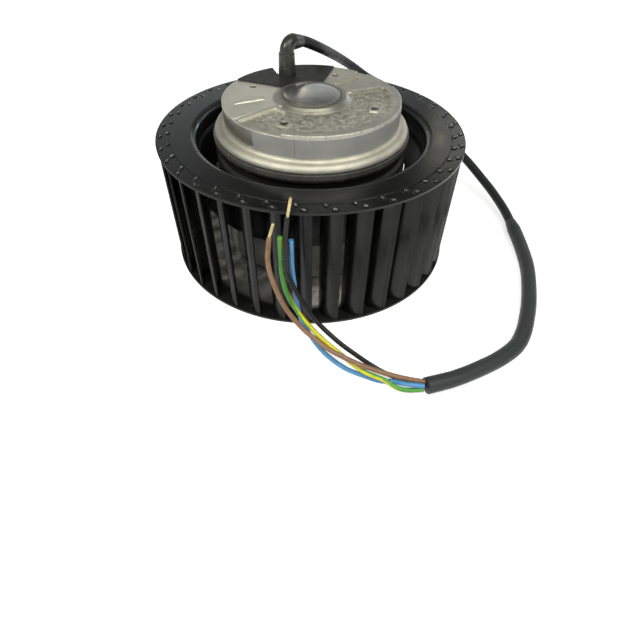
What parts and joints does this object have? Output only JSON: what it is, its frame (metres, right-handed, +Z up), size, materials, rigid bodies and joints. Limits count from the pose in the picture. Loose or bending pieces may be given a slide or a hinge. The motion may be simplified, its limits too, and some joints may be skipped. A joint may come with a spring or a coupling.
{
  "type": "centrifugal fan",
  "caption": "Motorised centrifugal impeller: a drum of forward-curved blades on an external-rotor motor, with a mounting flange and a free lead.",
  "frame": {"origin": "middle of the back plate's underside, on the drum's axis, where the fan stands", "axes": "+Z up along the drum's axis towards the mounting flange; -Y faces the picture's camera"},
  "size_m": [0.1844, 0.2072, 0.0882],
  "materials": {
    "cast_aluminium": "as cast, fine grained",
    "bright_metal": "bright pressed",
    "black_plastic": "matt moulded",
    "black_rubber": "satin",
    "label_foil": "satin foil, bare",
    "laminations": "rolled",
    "copper": "enamelled wire",
    "insulating_plastic": "matt",
    "bearing_steel": "ground",
    "spring_steel": "dark",
    "cable_jacket": "satin",
    "sleeve_rubber": "satin",
    "brown_insulation": "satin",
    "black_insulation": "satin",
    "blue_insulation": "satin",
    "green_yellow_insulation": "satin, two colours",
    "bare_wire": "stranded",
    "black_paint": "satin black paint on steel sheet",
    "rivet_steel": "plated",
    "cage_aluminium": "cast"
  },
  "bodies": {
    "stator": {"motor_flange": "cast_aluminium", "bearing_cap": "bright_metal", "cable_cover": "black_plastic", "cable_boot": "black_rubber", "rating_label": "label_foil", "stator_core": "laminations", "stator_windings": "copper", "upper_insulator": "insulating_plastic", "lower_insulator": "insulating_plastic", "upper_outer_ring": "bearing_steel", "lower_outer_ring": "bearing_steel", "preload_spring": "spring_steel", "power_cable": "cable_jacket", "cable_sleeve": "sleeve_rubber", "brown_wire": "brown_insulation", "black_wire": "black_insulation", "blue_wire": "blue_insulation", "green_yellow_wire": "green_yellow_insulation", "bare_conductors": "bare_wire"},
    "impeller": {"inlet_ring": "black_paint", "blades": "black_paint", "back_plate": "black_paint", "plate_rivets": "rivet_steel", "rotor_can": "black_paint", "rotor_core": "laminations", "squirrel_cage": "cage_aluminium", "shaft": "bearing_steel", "upper_inner_ring": "bearing_steel", "lower_inner_ring": "bearing_steel", "shaft_circlip": "spring_steel"},
    "upper_ball_set": {"upper_balls": "bearing_steel"},
    "lower_ball_set": {"lower_balls": "bearing_steel"}
  },
  "joints": [
    {"name": "impeller_spin", "type": "hinge", "parent": "stator", "child": "impeller", "pos_m": [0, 0, 0], "axis": [0, 0, 1], "continuous": true},
    {"name": "upper_ball_roll", "type": "hinge", "parent": "stator", "child": "upper_ball_set", "pos_m": [0, 0, 0.0635], "axis": [0, 0, 1], "continuous": true},
    {"name": "lower_ball_roll", "type": "hinge", "parent": "stator", "child": "lower_ball_set", "pos_m": [0, 0, 0.0175], "axis": [0, 0, 1], "continuous": true}
  ],
  "couplings": [
    {"joint": "upper_ball_roll", "follows": "impeller_spin", "ratio": 0.37},
    {"joint": "lower_ball_roll", "follows": "impeller_spin", "ratio": 0.37}
  ]
}
